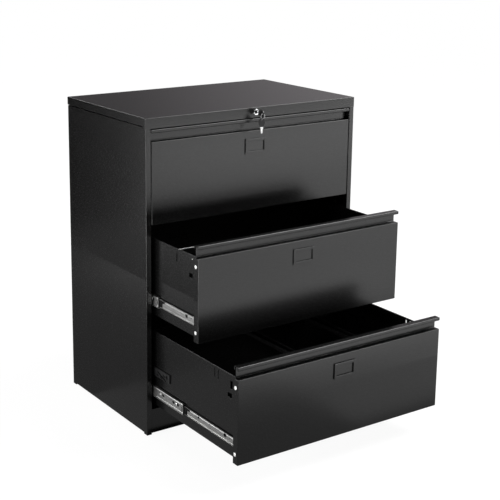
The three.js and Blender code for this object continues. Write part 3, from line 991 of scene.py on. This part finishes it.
def member_section(height, reach, band):
    """A channel of (across, up) with its web's face at zero: the web's middle band is stepped inwards."""
    half = (height - RUNNER_SHEET) / 2
    web = RUNNER_SHEET / 2
    upper = [(reach, half), (web, half), (web, band + BAND_STEP), (web + BAND_STEP, band)]
    lower = [(u, -v) for u, v in reversed(upper)]
    return ribbon(filleted(upper + lower, RUNNER_ROUND), RUNNER_SHEET)


def member_mesh(name, section, length, holes):
    """A runner member along Y, with holes of (y, z) outlines in its web."""
    cutters = [prism_mesh("hole", outline, "x", -MM, 3 * RUNNER_SHEET) for outline in holes]
    return cut(prism_mesh(name, section, "y", 0, length), cutters)


def middle_length():
    return size_of("upper_runner_middle_left").y - MIDDLE_SHORT


def outer_mesh():
    """An outer member with its slots."""
    size = size_of("upper_runner_outer_left")
    holes = [stadium(y, 0, *OUTER_HOLE) for y in OUTER_HOLE_PLACES]
    return member_mesh("outer_member", member_section(OUTER_HEIGHT, size.x, OUTER_BAND), size.y, holes)


def middle_mesh():
    """A middle member with slots and, near its front end, a curved one for its stop."""
    size = size_of("upper_runner_middle_left")
    slots = [stadium(y - MIDDLE_SHORT, RIVET_RISE, *MIDDLE_SLOT) for y in MIDDLE_SLOT_PLACES]
    wide, narrow = STOP_RADII
    start, end = STOP_ANGLES
    stop = arc(STOP_PLACE, 0, wide, start, end, steps=8) + arc(STOP_PLACE, 0, narrow, end, start, steps=8)
    section = member_section(MIDDLE_HEIGHT, size.x, MIDDLE_BAND)
    return member_mesh("middle_member", section, middle_length(), [*slots, stop])


def inner_mesh():
    """An inner member with a window and rounded holes."""
    size = size_of("upper_runner_inner_left")
    holes = [rectangle(*INNER_WINDOW)] + [stadium(*hole) for hole in INNER_HOLES]
    return member_mesh("inner_member", member_section(INNER_HEIGHT, size.x, INNER_BAND), size.y, holes)


def ball_row_mesh():
    """A row of balls along Y."""
    bm = bmesh.new()
    for i in range(BALL_COUNT):
        place = Matrix.Translation((0, (i + 0.5) * BALL_PITCH, 0))
        bmesh.ops.create_uvsphere(bm, u_segments=12, v_segments=8, radius=BALL_RADIUS, matrix=place)
    return mesh_of(bm, "ball_row")


def cage_end_mesh():
    """The black end of a ball cage, with a prong to the front."""
    half = CAGE_END_HEIGHT / 2
    block = CAGE_END_BLOCK
    low, high = CAGE_END_PRONG
    outline = [(0, -half), (0, half), (-block, half), (-block, high), (-CAGE_END_LENGTH, high),
               (-CAGE_END_LENGTH, low), (-block, low), (-block, -half)]
    depth = size_of("upper_runner_inner_left").x - WEB_DEPTH - SEAT
    return prism_mesh("cage_end", outline, "x", 0, -depth)


def retainer_mesh():
    """The black strip of a ball cage, behind the holes of a middle member."""
    length = middle_length()
    outline = rectangle(length / 2, 0, length - RETAINER_SHORT, 2 * MIDDLE_BAND + 2 * BAND_STEP)
    return prism_mesh("retainer", outline, "x", WEB_DEPTH, WEB_DEPTH + SEAT)


def shade_strip_mesh(length, height, across):
    """A thin black strip that lies along the top of a member: painted shade, the dark line that falls
    along it.
    """
    outline = rectangle(length / 2, (height + SHADE_STRIP_HEIGHT) / 2, length, SHADE_STRIP_HEIGHT)
    return prism_mesh("runner_strip", outline, "x", *across)


def member_place(node, s, outside):
    """The front end of a member's web, at its face and half its height."""
    low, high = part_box(node)
    outer, inner = (low.x, high.x) if s < 0 else (high.x, low.x)
    return Vector((outer if outside else inner, low.y, (low.z + high.z) / 2 + RUNNER_LIFT))


def runner_members(level, side, s, outer, middle, inner):
    """The three members of one runner."""
    members = (
        ("outer", outer, "cabinet", True, 0),
        ("middle", middle, f"{level}_runners", True, MIDDLE_SHORT),
        ("inner", inner, f"{level}_drawer", False, 0),
    )
    for member, mesh, body, outside, short in members:
        node = f"{level}_runner_{member}_{side}"
        place = member_place(node, s, outside) + Vector((0, short, 0))
        rounded(piece_of(f"{level}_{member}_member_{side}", mesh, "zinc", body, place, [node]), FINE_EDGE)


def runner_rivets(level, side, s, rivet):
    """The rivets in the middle member of one runner."""
    end = member_place(f"{level}_runner_middle_{side}", s, True)
    for number, y in enumerate(RIVET_PLACES):
        name = f"{level}_runner_rivet_{side}_{number}"
        place = end + Vector((-s * BAND_STEP, y, RIVET_RISE))
        piece_of(name, rivet, "zinc", f"{level}_runners", place, material=screw_metal)


def runner_cage_end(level, side, s, cage_end):
    """The end of one runner's ball cage, in front of the middle member."""
    end = member_place(f"{level}_runner_middle_{side}", s, True)
    web = member_place(f"{level}_runner_inner_{side}", s, False)
    front = max(end.y + MIDDLE_SHORT - CAGE_END_GAP, web.y + CAGE_END_LENGTH + CAGE_END_MARGIN)
    place = (web.x + s * WEB_DEPTH, front, web.z)
    # The cage end's near-black, almost glossless plastic is partly painted shade of the channel it sits in
    piece = piece_of(f"{level}_cage_end_{side}", cage_end, "black_plastic", f"{level}_drawer", place,
                     material=cage_plastic_and_painted_shade)
    rounded(piece, BLUNT_EDGE)


def runner_balls(level, side, s, balls):
    """The rows of balls over and under the inner and the outer member of one runner."""
    end = member_place(f"{level}_runner_middle_{side}", s, True)
    last = size_of(f"{level}_runner_middle_{side}").y - BALL_COUNT * BALL_PITCH - BALL_MARGIN
    rows = (
        ("inner", INNER_HEIGHT, INNER_BALLS_ACROSS, MIDDLE_SHORT + BALL_MARGIN),
        ("outer", OUTER_HEIGHT, OUTER_BALLS_ACROSS, last),
    )
    for row, height, across, y in rows:
        rise = (height + MIDDLE_HEIGHT) / 4 - RUNNER_SHEET / 2
        for where, up in (("under", -1), ("over", 1)):
            place = end + Vector((-s * across, y, up * rise))
            piece_of(f"{level}_{row}_balls_{side}_{where}", balls, "chrome", f"{level}_runners", place)


def runner_strips(level, side, s, retainer, middle_shade_strip, inner_shade_strip):
    """The black strips of one runner: the ball cage's retainer, and strips along the tops of the middle
    and the inner member that are painted shade.
    """
    middle = member_place(f"{level}_runner_middle_{side}", s, True) + Vector((0, MIDDLE_SHORT, 0))
    inner = member_place(f"{level}_runner_inner_{side}", s, False)
    strips = (
        ("ball_retainer", retainer, f"{level}_runners", middle),
        # Painted shade: near-black strips along the tops of the middle and the inner member
        ("middle_shade_strip", middle_shade_strip, f"{level}_runners", middle),
        ("inner_shade_strip", inner_shade_strip, f"{level}_drawer", inner),
    )
    for name, mesh, body, place in strips:
        piece_of(f"{level}_{name}_{side}", mesh, "black_plastic", body, place, material=cage_plastic_and_painted_shade)


def runners():
    outer = both_sides(outer_mesh())
    middle = both_sides(middle_mesh())
    inner = both_sides(mirrored(inner_mesh()))
    rivet = both_sides(rivet_mesh(RIVET_RADIUS))
    cage_end = both_sides(cage_end_mesh())
    retainer = both_sides(retainer_mesh())
    balls = ball_row_mesh()
    middle_shade_strip = both_sides(shade_strip_mesh(middle_length(), MIDDLE_HEIGHT, MIDDLE_SHADE_STRIP))
    inner_length = size_of("upper_runner_inner_left").y
    inner_shade_strip = both_sides(mirrored(shade_strip_mesh(inner_length, INNER_HEIGHT, INNER_SHADE_STRIP)))
    for level in LEVELS:
        for side, s in SIDES:
            runner_members(level, side, s, outer[side], middle[side], inner[side])
            runner_rivets(level, side, s, rivet[side])
            runner_cage_end(level, side, s, cage_end[side])
            runner_balls(level, side, s, balls)
            runner_strips(level, side, s, retainer[side], middle_shade_strip[side], inner_shade_strip[side])


# Lock and keys

def lock_bezel():
    """The lock's housing: a barrel with a rounded bezel at its front."""
    low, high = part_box("lock_housing")
    radius = (high.x - low.x) / 2 - BEZEL_SHRINK
    face = low.y + BEZEL_PROUD
    profile = [
        (BORE_RADIUS, low.y + BORE_CHAMFER), (BORE_RADIUS, high.y), (BARREL_RADIUS, high.y),
        (BARREL_RADIUS, face - SEAT), (radius, face - SEAT),
        *arc(radius - BEZEL_ROUND, low.y + BEZEL_ROUND, BEZEL_ROUND, 0, -90),
        (BORE_RADIUS + BORE_CHAMFER, low.y),
    ]
    mesh = lathe_mesh("lock_bezel", profile, steps=72, closed=True)
    middle = ((low.x + high.x) / 2, 0, (low.z + high.z) / 2)
    rounded(piece_of("lock_bezel", mesh, "chrome", "cabinet", middle, ["lock_housing"]), BEZEL_EDGE)


def key_in_lock():
    """The key's oval head with a hole for the ring, and the blade that goes into the plug."""
    low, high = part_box("key")
    thick = high.x - low.x
    tall = high.z - low.z
    middle = (low.z + high.z) / 2
    oval = ellipse(low.y + KEY_HEAD_LENGTH / 2, 0, KEY_HEAD_LENGTH, tall)
    hole = prism_mesh("hole", circle(low.y + KEY_HOLE_INSET, 0, KEY_HOLE_RADIUS), "x", -thick, thick)
    head = cut(prism_mesh("key_head", oval, "x", -thick / 2, thick / 2), [hole])
    piece = piece_of("key_head", head, "black_plastic", "lock_plug", (0, 0, middle), ["key"])
    rounded(piece, KEY_HEAD_EDGE, segments=4)
    wide, deep = KEY_BLADE
    start = low.y + KEY_HEAD_LENGTH - KEY_HOLE_INSET
    blade = prism_mesh("key_blade", rectangle(0, 0, wide, deep), "y", start, high.y)
    rounded(piece_of("key_blade", blade, "chrome", "lock_plug", (0, 0, middle)), SMALL_EDGE)


def ring_measures():
    """The middle and the radius of the key ring."""
    low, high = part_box("key_ring")
    middle = (low + high) / 2 + Vector((0, 0, RING_SHRINK))
    return middle, (high.x - low.x) / 2 - RING_WIRE - RING_SHRINK


def round_ring():
    middle, radius = ring_measures()
    mesh = lathe_mesh("round_ring", circle(radius, 0, RING_WIRE, steps=12), steps=72, closed=True)
    piece_of("round_ring", mesh, "chrome", "key_ring", middle, ["key_ring"], material=ring_metal)


def spare_blade_mesh(start):
    """The spare key's blade, with notches on one side, and the collar at its start."""
    width, length, sheet = SPARE_BLADE
    tip = start - length
    half = width / 2
    shoulder = tip + half
    point = SPARE_TIP / 2
    outline = [(-half, start), (-half, shoulder), (-point, tip), (point, tip), (half, shoulder)]
    for i in range(SPARE_NOTCHES):
        y = shoulder + (i + 0.5) * (start - shoulder) / SPARE_NOTCHES
        outline.append((half, y - SPARE_NOTCH_REACH))
        outline.append((half - SPARE_NOTCH_DEPTH, y))
        outline.append((half, y + SPARE_NOTCH_REACH))
    outline.append((half, start))
    collar_width, collar_height, collar_sheet = SPARE_COLLAR
    collar = rectangle(0, start - collar_height / 2, collar_width, collar_height)
    return joined("spare_key_blade", [
        prism_mesh("blade", outline, "y", -sheet / 2, sheet / 2),
        prism_mesh("collar", collar, "y", -collar_sheet / 2, collar_sheet / 2),
    ])


def spare_key():
    """A second key that hangs from the ring by the hole in its head, turned a little."""
    ring_middle, ring_radius = ring_measures()
    wide, tall, thick = SPARE_HEAD
    drop = SPARE_HOLE_RADIUS - RING_WIRE - SEAT
    middle = SPARE_HOLE_RADIUS + SPARE_BRIDGE - drop - tall / 2
    turn = Matrix.Rotation(SPARE_TURN, 4, "Z")
    place = (ring_middle.x - SPARE_ASIDE, ring_middle.y, ring_middle.z - ring_radius + SPARE_RISE)
    hole = prism_mesh("hole", circle(0, -drop, SPARE_HOLE_RADIUS), "y", -thick, thick)
    oval = prism_mesh("spare_key_head", ellipse(0, middle, wide, tall), "y", -thick / 2, thick / 2)
    head = moved(cut(oval, [hole]), turn)
    piece = piece_of("spare_key_head", head, "black_plastic", "key_ring", place)
    rounded(piece, SPARE_HEAD_EDGE, segments=3)
    blade = moved(spare_blade_mesh(middle - tall / 2 + SPARE_BLADE_SUNK), turn)
    piece = piece_of("spare_key_blade", blade, "chrome", "key_ring", place, material=screw_metal)
    rounded(piece, FINE_EDGE)


def lock():
    for name in ("lock_nut", "lock_crank", "lock_link", "interlock_bar"):
        soften(name, zinc, SMALL_EDGE)
    soften("lock_plug", steel, FINE_EDGE)
    lock_bezel()
    key_in_lock()
    round_ring()
    spare_key()


casing()
drawers()
runners()
lock()


# Studio

ROSY = (1, 0.945, 0.98)
TINTED = ("rear_box", "rear_right_box")
# How narrowly a softbox with a grid shines
SPREADS = {"rear_right_box": math.radians(31)}
# Softboxes: name, place, aim, width, height and power in watts
BOXES = (
    ("low_right_box", (4.2, -2.6, 0.8), (0, 0, 0.6), 2.6, 1.5, 32),
    ("front_box", (-0.3, -4.0, 2.4), (0, 0, 0.6), 2.6, 1.8, 22),
    ("low_left_box", (-3.6, 0.3, 0.75), (-0.4, 0, 0.5), 1.6, 1.5, 115),
    ("rear_left_box", (-2.6, 2.0, 0.75), (-0.4, 0.1, 0.5), 1.0, 1.8, 20),
    ("rear_box", (2.0, 3.4, 1.7), (0, 0, 0.9), 3.8, 1.8, 2.8),
    ("rear_right_box", (2.42, 3.74, 1.73), (-0.38, 0.89, 1.08), 3.4, 1.8, 0.215),
    ("fold_box", (1.7, -1.0, 2.9), (0, -0.3, 0.6), 2.2, 2.0, 165),
    ("rear_top_box", (-0.6, 3.0, 3.0), (0, 0, 0.9), 1.4, 1.2, 40),
)
# Bright cards that lie on the floor and shine upwards: name, x, y, width, depth and power in watts
CARDS = (
    ("right_card", 1.45, -2.45, 3.5, 2.7, 40),
    ("far_card", 2.9, -4.2, 2.6, 2.0, 54),
    ("side_card", 2.9, -1.2, 2.4, 3.0, 10),
    ("near_card", 0.5, -0.75, 1.8, 1.4, 2.6),
    ("near_right_card", 0.75, -1.05, 1.1, 0.8, 1.2),
    ("left_card", -1.8, 0.7, 2.8, 3.2, 3.7),
    ("left_mid_card", -1.6, 1.2, 1.0, 1.1, 1.8),
    ("tray_card", -0.94, -0.28, 1.12, 1.25, 0.4),
    ("left_front_card", -2.4, -1.6, 2.4, 1.8, 120),
    ("rear_right_card", 3.4, 1.8, 2.0, 2.0, 5),
    ("rear_card", 0.7, 1.95, 2.2, 3.3, 20),
    ("beside_card", 1.95, 0.2, 2.6, 2.4, 20),
)
CARD_HEIGHT = 0.004
FLOOR_HALF = 15
FLOOR_DROP = 0.05 * MM


def camera():
    """The photograph's camera, with its lens shifted to the principal point."""
    forward = Vector((
        math.sin(CAMERA_YAW) * math.cos(CAMERA_PITCH),
        math.cos(CAMERA_YAW) * math.cos(CAMERA_PITCH),
        math.sin(CAMERA_PITCH),
    ))
    level = Vector((math.cos(CAMERA_YAW), -math.sin(CAMERA_YAW), 0))
    right = level * math.cos(CAMERA_ROLL) + level.cross(forward) * math.sin(CAMERA_ROLL)
    up = right.cross(forward)
    data = bpy.data.cameras.new("photo_camera")
    data.sensor_width = SENSOR
    data.lens = FOCAL / PICTURE * SENSOR
    data.shift_x = 0.5 - PRINCIPAL[0] / PICTURE
    data.shift_y = PRINCIPAL[1] / PICTURE - 0.5
    data.clip_end = CLIP_END
    eye = linked("photo_camera", data)
    turn = Matrix((right, up, -forward)).transposed().to_4x4()
    eye.matrix_world = Matrix.Translation(CAMERA_PLACE) @ turn
    bpy.context.scene.camera = eye


def softbox(name, place, aim, width, height, power):
    """A rectangular light that the camera doesn't see."""
    data = bpy.data.lights.new(name, "AREA")
    data.shape = "RECTANGLE"
    data.size = width
    data.size_y = height
    data.energy = power
    data.spread = SPREADS.get(name, math.pi)
    if name in TINTED:
        data.color = ROSY
    lamp = linked(name, data)
    lamp.location = place
    lamp.rotation_euler = (Vector(aim) - Vector(place)).to_track_quat("-Z", "Y").to_euler()
    lamp.visible_camera = False


def pale_floor():
    """The floor, which the object's surfaces neither mirror nor take light from."""
    mesh = bpy.data.meshes.new("floor")
    corners = facing("z", 0, -FLOOR_HALF, FLOOR_HALF, -FLOOR_HALF, FLOOR_HALF)
    mesh.from_pydata(corners, [], [(0, 1, 2, 3)])
    mesh.materials.append(floor_paint("pale_floor"))
    floor = linked("floor", mesh)
    floor.location.z = -FLOOR_DROP
    floor.visible_diffuse = False
    floor.visible_glossy = False


def white_world():
    """A white background that doesn't light the object."""
    world = bpy.data.worlds.new("white")
    world.use_nodes = True
    world.node_tree.nodes["Background"].inputs["Color"].default_value = WHITE
    world.cycles_visibility.diffuse = False
    world.cycles_visibility.glossy = False
    bpy.context.scene.world = world


def studio():
    pale_floor()
    white_world()
    bpy.context.scene.view_settings.view_transform = "Standard"
    for box in BOXES:
        softbox(*box)
    for name, x, y, width, depth, power in CARDS:
        softbox(name, (x, y, CARD_HEIGHT), (x, y, 1), width, depth, power)


camera()
studio()
